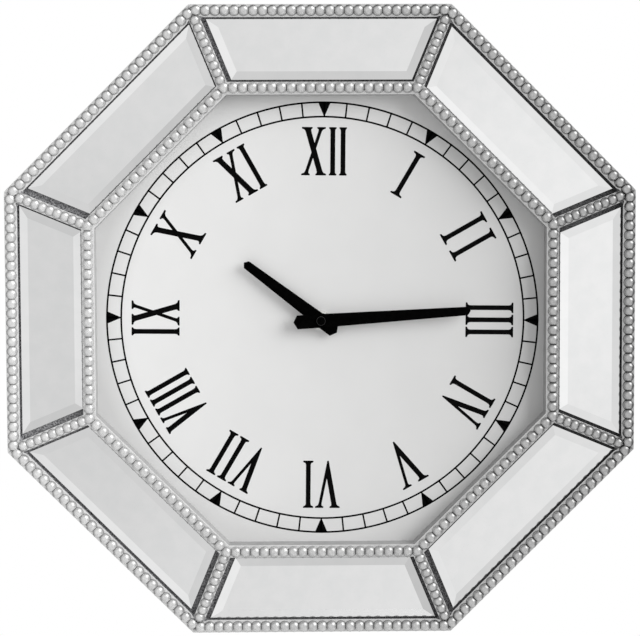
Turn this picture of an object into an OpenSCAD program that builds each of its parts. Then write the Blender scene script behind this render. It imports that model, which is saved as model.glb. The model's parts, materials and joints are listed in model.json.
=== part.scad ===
// Octagonal wall clock with eight bevelled mirror panels in a beaded frame.
// The face looks along -Y and the wall plane is Y = 0, with the hand axis on the origin.
// Modules work in a flat face frame: u to the right, v up, w away from the wall.

/* [Frame] */
// Distance across the flats of the octagonal frame
frame_af = 500; // [440:1:600]
// Depth of the frame from the wall to the top of its rails
frame_depth = 41; // [40:0.5:50]
// Width of the outer and inner rails that carry the beads
rail_w = 11.2; // [10:0.2:14]
// Width of the mirror pockets between the two rails
pocket_w = 49.2; // [40:0.2:60]
// Width of the eight spokes between the pockets
spoke_w = 10.8; // [9:0.2:13]
// Thickness of the frame floor under the mirrors
floor_t = 5; // [4:0.5:7]
// Thickness of the outer skirt that stands on the wall
skirt_t = 12; // [10:0.5:14]

/* [Bead trim] */
// Diameter of the half beads on the two rails
bead_d = 9.2; // [7:0.1:9.8]
// Pitch aimed at along the rails, rounded to whole beads a side
bead_pitch = 7.55; // [6:0.05:9]
// Diameter of the half beads on the spokes
spoke_bead_d = 7.8; // [6:0.1:8.6]
// Number of beads on each spoke
spoke_beads = 9; // [7:1:11]
// Thickness of the strip that joins the beads
strip_t = 0.6; // [0.4:0.1:1]
// Flat lip of the strip on each side of the beads
strip_lip = 0.2; // [0.1:0.1:0.5]
// Parting groove between neighbouring beads
bead_groove = 0.06; // [0.04:0.01:0.2]
// Gap between the spoke strips and the rail strips
trim_gap = 0.4; // [0.2:0.1:1]

/* [Mirrors] */
// Thickness of the mirror glass
mirror_t = 4; // [3:0.5:5]
// Width of the ground bevel round each mirror
bevel_w = 7.2; // [5:0.2:9]
// Depth of the bevel at the edge of the glass
bevel_drop = 2; // [0.6:0.1:2.4]
// Gap between a mirror and the rails
mirror_gap = 1.2; // [0.8:0.1:2]
// Mean gap between a mirror and the spokes
mirror_side_gap = 2.4; // [1.6:0.1:3]
// How far each mirror was set off centre along its pocket
mirror_slip = 1.2; // [0:0.1:1.4]
// How far the mirror face sits below the rail tops
mirror_sink = 0.2; // [0:0.1:0.6]
// Thickness of the foam tape behind the mirrors
tape_t = 0.8; // [0.5:0.1:1.2]
// Width of each strip of foam tape
tape_w = 9; // [6:0.5:12]

/* [Dial] */
// How far the dial lies below the rail tops
dial_recess = 16; // [15:0.5:18]
// Thickness of the dial board
dial_t = 3; // [2.5:0.1:3.5]
// Thickness of the printed dial paper
paper_t = 0.3; // [0.2:0.1:0.5]
// Lap of the dial board behind the inner rail
dial_lap = 11; // [9.6:0.1:11.2]

/* [Back] */
// Thickness of the back board
board_t = 5; // [4:0.5:6]
// Width of the ledge that the back board seats on
ledge_w = 6; // [5:0.5:7]
// Gap round the edge of the back board
board_gap = 0.3; // [0.2:0.1:0.6]
// Finger gap between the movement and the opening in the back board
access_gap = 5; // [4:0.5:10]
// Distance of the hanger from the outer edge of the frame
hanger_in = 36; // [32:0.5:50]
// Width of the hanger plate
hanger_w = 40; // [36:1:50]
// Height of the hanger plate
hanger_h = 22; // [20:1:30]
// Thickness of the hanger plate
hanger_t = 1.5; // [1.2:0.1:2]
// Diameter of the keyhole for the head of the wall screw
keyhole_d = 9; // [8:0.5:10]
// Width of the keyhole slot for the neck of the wall screw
keyslot_w = 4.5; // [3.5:0.1:5]

/* [Screws] */
// Diameter of the shanks of the dial and back screws
screw_d = 3; // [2.5:0.1:3.5]
// Grip of the dial and back screws in the frame
screw_grip = 9; // [7:0.5:12]
// Diameter of the screw heads
screw_head_d = 5.6; // [5:0.1:6.4]
// Height of the screw heads
screw_head_h = 1.6; // [1.2:0.1:2]
// Radial clearance of a screw in its hole
screw_gap = 0.05; // [0.02:0.01:0.1]

/* [Hands] */
// Reach of the minute hand from the axis
minute_l = 120; // [90:1:150]
// Reach of the hour hand from the axis
hour_l = 77; // [60:1:100]
// Tail of the minute hand behind the axis
minute_tail = 22; // [15:0.5:30]
// Tail of the hour hand behind the axis
hour_tail = 16; // [12:0.5:24]
// Width of both hands at the axis
hand_w = 11; // [9:0.2:13]
// Width of both hands where their points begin
hand_tip_w = 6.8; // [5:0.2:9]
// Thickness of both hands
hand_t = 0.8; // [0.5:0.1:1.2]
// Diameter of the round hub of the hour hand
hour_hub_d = 12.2; // [11.4:0.2:14]
// Gap between the hour hand and the minute hand
hand_gap = 2.2; // [1.6:0.1:3]
// Minutes past twelve that the hands show at rest
show_minutes = 614.4; // [0:0.1:720]

/* [Movement] */
// Diameter of the battery
battery_d = 14.5; // [13.5:0.1:14.5]
// Length of the battery with its button
battery_l = 50.5; // [49:0.1:51]
// Height of the movement case
case_h = 56; // [56:0.5:62]
// Thickness of the case walls
case_wall = 1.2; // [1:0.1:1.4]
// Distance from the hand axis to the motion wheel
motion_reach = 12; // [11.4:0.1:12.2]
// Thickness of each wheel
wheel_t = 1; // [0.8:0.05:1.1]
// Gap between neighbouring wheels along their arbors
layer_gap = 0.5; // [0.4:0.05:0.6]
// Diameter of the wheel arbors
arbor_d = 1; // [0.8:0.05:1.2]
// Radial clearance of every turning fit
run_gap = 0.05; // [0.03:0.01:0.08]
// Share of the backlash taken off each tooth
tooth_thin = 0.07; // [0.06:0.01:0.1]
// Diameter of the threaded bush that holds the movement
bush_d = 8; // [7.6:0.1:9]
// Height of the bush in front of the dial
bush_out = 4; // [3.8:0.1:5]
// Thickness of the rubber gasket behind the dial
gasket_t = 0.5; // [0.4:0.1:1]
// Diameter of the setting knob
knob_d = 9; // [7:0.5:11]
// Gap between the setting knob and the wall
knob_wall_gap = 1.5; // [1:0.1:2]

/* [Hidden] */
$fn = 48;

// Octagon geometry
sides = 8;
turn = 360 / sides;
half = turn / 2;
cut = 1;
outer_ap = frame_af / 2;
pocket_out_ap = outer_ap - rail_w;
pocket_in_ap = pocket_out_ap - pocket_w;
opening_ap = pocket_in_ap - rail_w;
outer_row_ap = outer_ap - rail_w / 2;
inner_row_ap = pocket_in_ap - rail_w / 2;
row_half = bead_d / 2 + strip_lip;
spoke_out_ap = outer_row_ap - row_half - trim_gap;
spoke_in_ap = inner_row_ap + row_half + trim_gap;
pocket_floor = frame_depth - tape_t - mirror_t - mirror_sink;
floor_back = pocket_floor - floor_t;
chamber_ap = outer_ap - skirt_t;
board_ap = chamber_ap + ledge_w - board_gap;
ledge_ap = chamber_ap + (ledge_w - board_gap) / 2;
// Way each mirror slipped in its pocket, clockwise from the top
slip_way = [1, -1, 1, -1, -1, 1, 1, 1];

// Stack along the hand axis
dial_front = frame_depth - dial_recess;
dial_back = dial_front - paper_t - dial_t;
case_front = dial_back - gasket_t;
battery_gap = 0.15;
case_d = case_wall + battery_d + 2 * battery_gap;
case_rear = case_front - case_d;
washer_t = 1;
washer_d = 16;
nut_h = 2.4;
nut_af = 12;
thread_gap = 0.05;
hand_lift = 1.5;
hour_hand_w = dial_front + bush_out + hand_lift;
minute_hand_w = hour_hand_w + hand_t + hand_gap;
hand_nut_d = 7.2;
hand_nut_h = 2.2;
nut_grip = 1.4;
stub_l = hand_t + nut_grip;
gasket_d = 24;

// Minute and hour hand angles, clockwise from twelve
minute_angle = 6 * (show_minutes % 60);
hour_angle = show_minutes / 2;

// Screw places
dial_screw_ap = (opening_ap + pocket_in_ap) / 2;
hanger_v = outer_ap - hanger_in;
keyhole_span = 1.5 * keyhole_d + keyslot_w / 2;
keyhole_down = keyhole_span / 2 - keyhole_d / 2;
keyhole_room = 1.5;
hanger_screw_in = 5;
hanger_screw_u = hanger_w / 2 - hanger_screw_in;
hanger_screw_short = 0.5;
hanger_screw_l = board_t - hanger_screw_short;

// Tubes and bush, from the inside out
seconds_r = 0.6;
minute_bore_r = seconds_r + run_gap;
minute_r = 1.5;
stub_r = 1.25;
hour_bore_r = minute_r + run_gap;
hour_r = 2.5;
hour_tip_r = 2.2;
bush_bore_r = hour_r + run_gap;
hand_bore_gap = 0.05;

// Gear train: tooth counts
cannon_z = 12;
motion_z = 36;
motion_pinion_z = 10;
hour_z = 40;
knob_z = 12;
centre_z = 64;
third_pinion_z = 8;
third_z = 60;
seconds_pinion_z = 8;
seconds_z = 60;
intermediate_pinion_z = 12;
intermediate_z = 60;
rotor_z = 10;
// Tooth height over and under the pitch circle, in modules, and the pressure angle
tooth_over = 0.55;
tooth_under = 0.9;
pressure = 20;

// Gear train: modules and centre distances
cannon_m = 2 * motion_reach / (cannon_z + motion_z);
hour_m = 2 * motion_reach / (motion_pinion_z + hour_z);
train_clear = 0.4;
train_reach = tip_r(hour_z, hour_m) + arbor_d / 2 + train_clear;
centre_m = 2 * train_reach / (centre_z + third_pinion_z);
third_m = 2 * train_reach / (third_z + seconds_pinion_z);
seconds_m = 2 * train_reach / (seconds_z + intermediate_pinion_z);
rotor_m = 0.26;
rotor_reach = rotor_m * (intermediate_z + rotor_z) / 2;

// Gear train: directions between arbors, and the arbor places
motion_dir = 150;
knob_dir = 135;
third_dir = 60;
intermediate_dir = -10;
rotor_dir = 40;
motion_at = polar(motion_reach, motion_dir);
knob_at = motion_at + polar(cannon_m * (motion_z + knob_z) / 2, knob_dir);
third_at = polar(train_reach, third_dir);
intermediate_at = polar(train_reach, intermediate_dir);
rotor_at = intermediate_at + polar(rotor_reach, rotor_dir);
// Places of the pivots that run in both the case and the cover
pivots = [motion_at, third_at, intermediate_at, rotor_at];

// Layers behind the case front, one wheel deep each
layer_step = wheel_t + layer_gap;
hour_layer = case_wall + layer_gap;
motion_layer = hour_layer + layer_step;
centre_layer = motion_layer + layer_step;
third_layer = centre_layer + layer_step;
seconds_layer = third_layer + layer_step;
intermediate_layer = seconds_layer + layer_step;
cover_t = case_wall;
cover_depth = case_d - cover_t;
pivot_depth = 0.8;
pivot_play = 0.1;

// Case and battery bay
contact_room = 1.55;
case_w = battery_l + 2 * contact_room + 2 * case_wall;
room_u = case_w / 2 - case_wall;
room_top = case_h / 2 - case_wall;
battery_v = battery_d / 2 + battery_gap - room_top;
bay_top = battery_v + battery_d / 2 + battery_gap;
room_floor = bay_top + case_wall;
battery_depth = case_wall + battery_gap + battery_d / 2;
button_l = 1.5;
button_d = 5.2;
knob_flutes = 12;
flute_r = 0.56;
post_r = 2;
peg_r = 0.9;
peg_l = 3;
post_in = 1.8;
low_post_in = 4.6;
low_post_up = 3.4;
cover_gap = 0.2;
access_w = case_w + 2 * access_gap;
access_h = case_h + 2 * access_gap;

// Step motor and circuit
magnet_r = 2.9;
magnet_t = 2;
stator_t = 0.8;
magnet_gap = 0.5;
stator_wall = 1.8;
stator_hole_r = magnet_r + magnet_gap;
stator_ring_r = stator_hole_r + stator_wall;
stator_depth = centre_layer;
arm_w = 3.4;
coil_r = 3.3;
core_w = 2.4;
core_t = 1.6;
core_gap = 0.1;
bobbin_wall = 0.5;
flange_t = 0.8;
coil_top_gap = 0.8;
coil_v = room_top - coil_top_gap - coil_r;
arm_out = 3;
arm_rise = 4.6;
coil_clear = 0.5;
arm_right_u = rotor_at[0] + arm_out;
arm_left_u = -8.8;
arm_step_v = third_at[1] + arm_rise;
coil_right = arm_right_u - arm_w / 2 - coil_clear;
coil_left = arm_left_u + arm_w / 2 + coil_clear;
core_depth = stator_depth + stator_t;
coil_depth = core_depth + core_t / 2;
board_depth = 9;
circuit_t = 1;
circuit_clear = 1.1;
circuit_edge = 0.5;
circuit_right = arm_left_u - arm_w / 2 - circuit_clear;
circuit_w = circuit_right + room_u - post_in - post_r - circuit_clear;
circuit_low = knob_at[1] + arbor_d + circuit_clear;
circuit_h = room_top - circuit_edge - circuit_low;
crystal_r = 1;
crystal_l = 6;
leaf_t = 0.4;
leaf_gap = 0.05;
leaf_h = 9;
tail_w = 1.8;
contact_gap = 0.1;
bump_r = 2;

// Point at a distance and direction from the hand axis
function polar(r, a) = [r * cos(a), r * sin(a)];

// Half width of a panel between two bisectors at height v, set in by off
function half_width(v, off) = v * tan(half) - off / cos(half);

// Radii and flank angle of an involute gear with z teeth of module m
function pitch_r(z, m) = z * m / 2;
function tip_r(z, m) = pitch_r(z, m) + tooth_over * m;
function root_r(z, m) = pitch_r(z, m) - tooth_under * m;
function inv(r, base) = r <= base ? 0 : sqrt(pow(r / base, 2) - 1) * 180 / PI - acos(base / r);
function flank(r, z, m) =
  let (base = pitch_r(z, m) * cos(pressure))
  let (at_pitch = (PI * m / 2 - tooth_thin) / (z * m) * 180 / PI)
  at_pitch + inv(pitch_r(z, m), base) - inv(r, base);

// Turn of the second gear that sets its gap on a tooth of the first, dir degrees away
function mesh_turn(first_turn, first_z, second_z, dir) =
  dir + 180 - 180 / second_z + (dir - first_turn) * first_z / second_z;

// Turn of each gear at rest
motion_turn = mesh_turn(0, cannon_z, motion_z, motion_dir);
knob_turn = mesh_turn(motion_turn, motion_z, knob_z, knob_dir);
hour_turn = mesh_turn(0, motion_pinion_z, hour_z, motion_dir + 180);
third_turn = mesh_turn(0, centre_z, third_pinion_z, third_dir);
seconds_turn = mesh_turn(0, third_z, seconds_pinion_z, third_dir + 180);
intermediate_turn = mesh_turn(0, seconds_z, intermediate_pinion_z, intermediate_dir);
rotor_turn = mesh_turn(0, intermediate_z, rotor_z, rotor_dir);

// Stand the face frame up against the wall
module stand() {
  rotate([90, 0, 0]) children();
}

// Extrude a flat shape between two distances from the wall
module slab(from, to) {
  translate([0, 0, from]) linear_extrude(to - from) children();
}

// Extrude a flat shape behind the front of the movement case
module layer(depth, t) {
  slab(case_front - depth - t, case_front - depth) children();
}

module octagon(ap) {
  rotate(half) circle(r = ap / cos(half), $fn = sides);
}

module octagon_ring(out_ap, in_ap) {
  difference() {
    octagon(out_ap);
    octagon(in_ap);
  }
}

// Flat panel between two apothems, set in from the bisectors
module panel(low, high, off) {
  polygon([
    [-half_width(low, off), low], [half_width(low, off), low],
    [half_width(high, off), high], [-half_width(high, off), high]
  ]);
}

// Repeat round the octagon, once at the middle of each side
module each_side() {
  for (k = [0 : sides - 1]) rotate(-turn * k) children();
}

// Round disc at a place, used for pins and holes
module disc(r, at = [0, 0]) {
  translate(at) circle(r);
}

module gear(z, m, turned) {
  radii = [root_r(z, m), pitch_r(z, m), tip_r(z, m)];
  rotate(turned) polygon([
    for (i = [0 : z - 1])
      for (side = [-1, 1])
        for (j = [0 : 2])
          let (r = radii[side < 0 ? j : 2 - j])
          polar(r, i * 360 / z + side * flank(r, z, m))
  ]);
}

// Plain arbor from the pocket in the case front to the pocket in the cover
module arbor(at) {
  reach = cover_depth - case_wall + 2 * (pivot_depth - pivot_play);
  layer(case_wall - pivot_depth + pivot_play, reach) disc(arbor_d / 2, at);
}

// Half bead with flat sides where it meets its neighbours
module bead(d, pitch) {
  intersection() {
    sphere(d = d);
    translate([(bead_groove - pitch) / 2, -d, 0]) cube([pitch - bead_groove, 2 * d, d]);
  }
}

// Half bead that turns a corner of the octagon
module corner_bead(d, pitch) {
  reach = (pitch - bead_groove) / 2;
  intersection() {
    sphere(d = d);
    rotate(half) translate([-reach, -d, 0]) cube([reach + d, 2 * d, d]);
    rotate(-half) translate([-d, -d, 0]) cube([reach + d, 2 * d, d]);
  }
}

// Strip of half beads round the octagon, with a bead on every corner
module bead_row(ap) {
  side_l = 2 * ap * tan(half);
  count = round(side_l / bead_pitch);
  pitch = side_l / count;
  slab(frame_depth, frame_depth + strip_t) octagon_ring(ap + row_half, ap - row_half);
  translate([0, 0, frame_depth + strip_t]) {
    each_side() {
      for (i = [1 : count - 1]) translate([i * pitch - side_l / 2, ap, 0]) bead(bead_d, pitch);
      rotate(-half) translate([0, ap / cos(half), 0]) corner_bead(bead_d, pitch);
    }
  }
}

// Strip of half beads on one spoke, between the two rows
module bead_spoke() {
  from = spoke_in_ap / cos(half);
  to = spoke_out_ap / cos(half);
  pitch = (to - from) / spoke_beads;
  strip_w = spoke_bead_d + 2 * strip_lip;
  slab(frame_depth, frame_depth + strip_t)
    translate([-strip_w / 2, from]) square([strip_w, to - from]);
  translate([0, 0, frame_depth + strip_t])
    for (i = [0 : spoke_beads - 1])
      translate([0, from + (i + 0.5) * pitch, 0]) rotate(90) bead(spoke_bead_d, pitch);
}

// Countersunk screw from w = 0, head flush with the wall plane
module flush_screw(l) {
  cylinder(d1 = screw_head_d, d2 = screw_d, h = screw_head_h);
  cylinder(d = screw_d, h = l);
}

// Hole for a countersunk screw
module flush_hole(l) {
  wide = screw_head_d + 2 * screw_gap;
  narrow = screw_d + 2 * screw_gap;
  cylinder(d1 = wide, d2 = narrow, h = screw_head_h);
  cylinder(d = narrow, h = l);
}

// Keyhole outline about its middle: round head hole with a slot upwards
module keyhole() {
  translate([0, -keyhole_down]) {
    circle(d = keyhole_d);
    translate([-keyslot_w / 2, 0]) square([keyslot_w, keyhole_d]);
    translate([0, keyhole_d]) circle(d = keyslot_w);
  }
}

module front_frame() {
  color("silver") stand() difference() {
    slab(0, frame_depth) octagon_ring(outer_ap, opening_ap);
    each_side() slab(pocket_floor, frame_depth + cut)
      panel(pocket_in_ap, pocket_out_ap, spoke_w / 2);
    slab(-cut, dial_front) octagon(chamber_ap);
    slab(dial_front - cut, floor_back) octagon_ring(chamber_ap, pocket_in_ap);
    slab(-cut, board_t) octagon(chamber_ap + ledge_w);
    each_side() {
      slab(dial_front - cut, dial_front + screw_grip + screw_gap)
        disc(screw_d / 2 + screw_gap, [0, dial_screw_ap]);
      slab(board_t - cut, board_t + screw_grip + screw_gap)
        disc(screw_d / 2 + screw_gap, [0, ledge_ap]);
    }
  }
}

module outer_bead_trim() {
  color("silver") stand() bead_row(outer_row_ap);
}

module inner_bead_trim() {
  color("silver") stand() bead_row(inner_row_ap);
}

module spoke_bead_trim() {
  color("silver") stand() each_side() rotate(half) intersection() {
    bead_spoke();
    slab(frame_depth, frame_depth + strip_t + spoke_bead_d) rotate(half)
      octagon_ring(spoke_out_ap, spoke_in_ap);
  }
}

// Bevelled mirror number k, counted clockwise from the top
module mirror_panel(k) {
  low = pocket_in_ap + mirror_gap;
  high = pocket_out_ap - mirror_gap;
  off = spoke_w / 2 + mirror_side_gap * cos(half);
  corners = [
    [-half_width(low, off), low], [half_width(low, off), low],
    [half_width(high, off), high], [-half_width(high, off), high]
  ];
  slope = atan(bevel_drop / bevel_w);
  color("lightgray") stand() rotate(-turn * k)
    translate([slip_way[k] * mirror_slip, 0, pocket_floor + tape_t]) difference() {
      linear_extrude(mirror_t) panel(low, high, off);
      for (i = [0 : 3]) {
        start = corners[i];
        along = corners[(i + 1) % 4] - start;
        translate([start[0], start[1], mirror_t - bevel_drop])
          rotate(atan2(along[1], along[0])) rotate([slope, 0, 0])
            translate([-bevel_w, -bevel_w, 0])
              cube([norm(along) + 2 * bevel_w, 3 * bevel_w, 2 * bevel_w]);
      }
    }
}

module mirror_tape() {
  inset = mirror_gap + bevel_w + tape_w / 2;
  low = pocket_in_ap + inset;
  high = pocket_out_ap - inset;
  color("dimgray") stand() each_side() slab(pocket_floor, pocket_floor + tape_t)
    for (v = [low, high])
      translate([-half_width(low, inset + spoke_w / 2), v - tape_w / 2])
        square([2 * half_width(low, inset + spoke_w / 2), tape_w]);
}

// Outline of the dial board and its paper, with the holes they share
module dial_sheet() {
  difference() {
    octagon(opening_ap + dial_lap);
    circle(d = bush_d + 2 * thread_gap);
    each_side() disc(screw_d / 2 + screw_gap, [0, dial_screw_ap]);
  }
}

module dial_plate() {
  color("tan") stand() slab(dial_back, dial_back + dial_t) dial_sheet();
}

module dial_paper() {
  color("white") stand() slab(dial_front - paper_t, dial_front) dial_sheet();
}

module dial_screws() {
  color("gray") stand() each_side() {
    slab(dial_back - screw_head_h, dial_back) disc(screw_head_d / 2, [0, dial_screw_ap]);
    slab(dial_back - screw_head_h, dial_front + screw_grip) disc(screw_d / 2, [0, dial_screw_ap]);
  }
}

module back_board() {
  color("tan") stand() difference() {
    slab(0, board_t) octagon(board_ap);
    slab(-cut, board_t + cut) square([access_w, access_h], center = true);
    each_side() translate([0, ledge_ap, 0]) flush_hole(board_t + cut);
    translate([0, hanger_v, 0]) {
      slab(-cut, hanger_t) square([hanger_w + 2 * board_gap, hanger_h + 2 * board_gap], center = true);
      slab(-cut, board_t + cut)
        square([keyhole_d + 2 * keyhole_room, keyhole_span + 2 * keyhole_room], center = true);
      for (u = [-hanger_screw_u, hanger_screw_u]) translate([u, 0, 0]) flush_hole(board_t + cut);
    }
  }
}

module back_screws() {
  color("gray") stand() each_side() translate([0, ledge_ap, 0]) flush_screw(board_t + screw_grip);
}

module hanger_plate() {
  color("gray") stand() translate([0, hanger_v, 0]) difference() {
    slab(0, hanger_t) square([hanger_w, hanger_h], center = true);
    slab(-cut, hanger_t + cut) keyhole();
    for (u = [-hanger_screw_u, hanger_screw_u]) translate([u, 0, 0]) flush_hole(hanger_t + cut);
  }
}

module hanger_screws() {
  color("gray") stand() for (u = [-hanger_screw_u, hanger_screw_u])
    translate([u, hanger_v, 0]) flush_screw(hanger_screw_l);
}

// Flat tapered hand pointing to twelve, with a point at its tip and at its tail
module hand_outline(l, tail) {
  tip_point = 2.6;
  tail_point = 3;
  polygon([
    [0, l], [hand_tip_w / 2, l - tip_point], [hand_w / 2, 0],
    [hand_w / 2, tail_point - tail], [0, -tail],
    [-hand_w / 2, tail_point - tail], [-hand_w / 2, 0], [-hand_tip_w / 2, l - tip_point]
  ]);
}

module hour_hand() {
  front = hour_hand_w + hand_t;
  color([0.05, 0.05, 0.05]) stand() rotate(-hour_angle) difference() {
    union() {
      slab(hour_hand_w, front) hand_outline(hour_l, hour_tail);
      slab(hour_hand_w, front) circle(d = hour_hub_d);
    }
    slab(hour_hand_w - cut, front + cut) circle(hour_tip_r + hand_bore_gap);
  }
}

module minute_hand() {
  color([0.05, 0.05, 0.05]) stand() rotate(-minute_angle)
    slab(minute_hand_w, minute_hand_w + hand_t) difference() {
      hand_outline(minute_l, minute_tail);
      circle(stub_r + hand_bore_gap);
    }
}

module hand_nut() {
  seat = minute_hand_w + hand_t;
  color([0.08, 0.08, 0.08]) stand() difference() {
    slab(seat, seat + hand_nut_h) circle(d = hand_nut_d);
    slab(seat - cut, minute_hand_w + stub_l + hand_bore_gap) circle(stub_r + hand_bore_gap);
  }
}

module fixing_nut() {
  seat = dial_front + washer_t;
  color("goldenrod") stand() slab(seat, seat + nut_h) difference() {
    circle(d = nut_af / cos(30), $fn = 6);
    circle(d = bush_d + 2 * thread_gap);
  }
}

module fixing_washer() {
  color("goldenrod") stand() slab(dial_front, dial_front + washer_t) difference() {
    circle(d = washer_d);
    circle(d = bush_d + 2 * thread_gap);
  }
}

module gasket() {
  color([0.1, 0.1, 0.1]) stand() slab(case_front, dial_back) difference() {
    circle(d = gasket_d);
    circle(d = bush_d + 2 * thread_gap);
  }
}

// Corner posts of the case, which take the pegs of the cover
module post_places() {
  for (side = [-1, 1]) {
    translate([side * (room_u - post_in), room_top - post_in]) children();
    translate([side * (room_u - low_post_in), room_floor + low_post_up]) children();
  }
}

module movement_case() {
  color([0.12, 0.12, 0.12]) stand() difference() {
    union() {
      difference() {
        layer(0, cover_depth) square([case_w, case_h], center = true);
        layer(case_wall, case_d) translate([-room_u, room_floor])
          square([2 * room_u, room_top - room_floor]);
        layer(case_wall, case_d) translate([-room_u, -room_top])
          square([2 * room_u, bay_top + room_top]);
      }
      layer(0, cover_depth) post_places() circle(post_r);
      layer(0, stator_depth) {
        disc(arm_w / 2, [arm_left_u, coil_v]);
        disc(arm_w / 2, [arm_right_u, coil_v]);
      }
      layer(0, board_depth)
        disc(post_r, [circuit_right - circuit_w / 2, circuit_low + circuit_h / 2]);
      slab(case_front, dial_front + bush_out) circle(d = bush_d);
    }
    slab(case_front - case_wall - cut, dial_front + bush_out + cut) circle(bush_bore_r);
    layer(case_wall - pivot_depth, pivot_depth + cut) {
      for (at = pivots) disc(arbor_d / 2 + run_gap, at);
      disc(arbor_d / 2 + run_gap, knob_at);
    }
    layer(cover_depth - peg_l - cover_gap, peg_l + cut) post_places() circle(peg_r + run_gap);
    layer(board_depth, case_d) for (side = [-1, 1])
      translate([side * (room_u - leaf_t) - leaf_t - 2 * leaf_gap, bay_top - cut])
        square([2 * (leaf_t + 2 * leaf_gap), case_wall + 2 * cut]);
  }
}

module movement_cover() {
  color([0.12, 0.12, 0.12]) stand() difference() {
    union() {
      layer(cover_depth, cover_t) translate([-case_w / 2, bay_top])
        square([case_w, case_h / 2 - bay_top]);
      layer(cover_depth - peg_l, peg_l + cover_t) post_places() circle(peg_r);
    }
    layer(cover_depth - cut, pivot_depth + cut) {
      for (at = pivots) disc(arbor_d / 2 + run_gap, at);
      disc(seconds_r + run_gap);
    }
    layer(cover_depth - cut, cover_t + 2 * cut) disc(arbor_d + run_gap, knob_at);
  }
}

module hour_wheel() {
  color("ivory") stand() difference() {
    union() {
      layer(hour_layer, wheel_t) gear(hour_z, hour_m, hour_turn);
      slab(case_front - hour_layer, hour_hand_w) circle(hour_r);
      slab(hour_hand_w, hour_hand_w + hand_t) circle(hour_tip_r);
    }
    slab(case_front - hour_layer - wheel_t - cut, hour_hand_w + hand_t + cut) circle(hour_bore_r);
  }
}

module motion_wheel() {
  color("ivory") stand() {
    layer(motion_layer, wheel_t) translate(motion_at) gear(motion_z, cannon_m, motion_turn);
    layer(hour_layer, motion_layer - hour_layer)
      translate(motion_at) gear(motion_pinion_z, hour_m, 0);
    arbor(motion_at);
  }
}

module minute_arbor() {
  tail = centre_layer + wheel_t;
  color("goldenrod") stand() difference() {
    union() {
      layer(motion_layer, wheel_t) gear(cannon_z, cannon_m, 0);
      slab(case_front - tail, minute_hand_w) circle(minute_r);
      slab(minute_hand_w, minute_hand_w + stub_l) circle(stub_r);
    }
    slab(case_front - tail - cut, minute_hand_w + stub_l - pivot_depth) circle(minute_bore_r);
  }
}

module centre_wheel() {
  color("ivory") stand() layer(centre_layer, wheel_t) difference() {
    gear(centre_z, centre_m, 0);
    circle(minute_r + run_gap);
  }
}

module third_wheel() {
  color("ivory") stand() {
    layer(third_layer, wheel_t) translate(third_at) gear(third_z, third_m, 0);
    layer(centre_layer, third_layer - centre_layer)
      translate(third_at) gear(third_pinion_z, centre_m, third_turn);
    arbor(third_at);
  }
}

module seconds_wheel() {
  color("ivory") stand() {
    layer(seconds_layer, wheel_t) gear(seconds_z, seconds_m, 0);
    layer(third_layer, seconds_layer - third_layer) gear(seconds_pinion_z, third_m, seconds_turn);
    slab(case_front - cover_depth - pivot_depth + pivot_play, minute_hand_w) circle(seconds_r);
  }
}

module intermediate_wheel() {
  color("ivory") stand() {
    layer(intermediate_layer, wheel_t)
      translate(intermediate_at) gear(intermediate_z, rotor_m, 0);
    layer(seconds_layer, intermediate_layer - seconds_layer)
      translate(intermediate_at) gear(intermediate_pinion_z, seconds_m, intermediate_turn);
    arbor(intermediate_at);
  }
}

module rotor_pinion() {
  color("ivory") stand() {
    layer(intermediate_layer, wheel_t) translate(rotor_at) gear(rotor_z, rotor_m, rotor_turn);
    arbor(rotor_at);
  }
}

module rotor_magnet() {
  color("dimgray") stand() layer(stator_depth + stator_t / 2 - magnet_t / 2, magnet_t) difference() {
    disc(magnet_r, rotor_at);
    disc(arbor_d / 2 + run_gap, rotor_at);
  }
}

module stator() {
  bottom = rotor_at[1];
  top = coil_v + arm_w / 2;
  color("gray") stand() layer(stator_depth, stator_t) difference() {
    union() {
      disc(stator_ring_r, rotor_at);
      translate([arm_right_u - arm_w / 2, bottom]) square([arm_w, top - bottom]);
      translate([arm_left_u - arm_w / 2, arm_step_v]) square([arm_w, top - arm_step_v]);
      translate([arm_left_u, arm_step_v]) square([rotor_at[0] - arm_left_u - arm_w, arm_w]);
      translate([rotor_at[0] - 1.5 * arm_w, bottom])
        square([arm_w, arm_step_v + arm_w - bottom]);
    }
    disc(stator_hole_r, rotor_at);
  }
}

module coil_core() {
  left = arm_left_u - arm_w / 2;
  right = arm_right_u + arm_w / 2;
  color("gray") stand() layer(core_depth, core_t) translate([left, coil_v - core_w / 2])
    square([right - left, core_w]);
}

// Round a shape about the coil axis, from one place along u to another
module along_coil(from, to) {
  translate([from, coil_v, case_front - coil_depth]) rotate([0, 90, 0])
    linear_extrude(to - from) children();
}

// Bore of the bobbin, which the flat core slides through
module core_slot() {
  square([core_t + 2 * core_gap, core_w + 2 * core_gap], center = true);
}

module coil_bobbin() {
  color("white") stand() difference() {
    union() {
      along_coil(coil_left, coil_right) circle(norm([core_t, core_w]) / 2 + bobbin_wall);
      along_coil(coil_left, coil_left + flange_t) circle(coil_r);
      along_coil(coil_right - flange_t, coil_right) circle(coil_r);
    }
    along_coil(coil_left - cut, coil_right + cut) core_slot();
  }
}

module coil_winding() {
  color("peru") stand() along_coil(coil_left + flange_t, coil_right - flange_t) difference() {
    circle(coil_r - bobbin_wall);
    circle(norm([core_t, core_w]) / 2 + bobbin_wall);
  }
}

module circuit_board() {
  color("seagreen") stand() layer(board_depth, circuit_t)
    translate([circuit_right - circuit_w, circuit_low]) square([circuit_w, circuit_h]);
}

module quartz_crystal() {
  at_v = room_top - circuit_edge - 2 * crystal_r;
  color("silver") stand() translate([
    circuit_right - crystal_l - circuit_edge, at_v,
    case_front - board_depth - circuit_t - crystal_r
  ]) rotate([0, 90, 0]) cylinder(r = crystal_r, h = crystal_l);
}

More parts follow.
